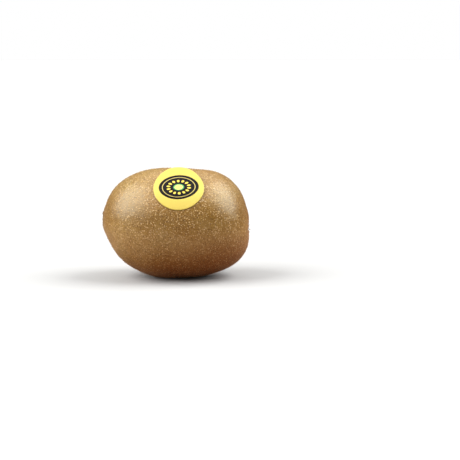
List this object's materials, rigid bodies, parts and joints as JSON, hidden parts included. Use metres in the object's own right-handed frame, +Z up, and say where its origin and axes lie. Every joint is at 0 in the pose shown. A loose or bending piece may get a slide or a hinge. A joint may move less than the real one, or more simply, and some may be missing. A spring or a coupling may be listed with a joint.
{
  "type": "golden kiwi fruit",
  "caption": "Whole golden kiwi fruit lying on its side, an oval brown fruit with a stalk scar, dried styles and a round fruit label.",
  "frame": {"origin": "on the surface that the fruit rests on, under the middle of the body", "axes": "+X along the fruit from the stem end to the blossom end, -Y towards the front with the label, +Z up"},
  "size_m": [0.0703, 0.0544, 0.0539],
  "materials": {
    "skin": "thin brown fruit skin, satin, with pale specks and a little down",
    "label": "thin printed label with a soft gloss"
  },
  "bodies": {
    "root": {"fruit": "skin", "label": "label"}
  },
  "joints": []
}
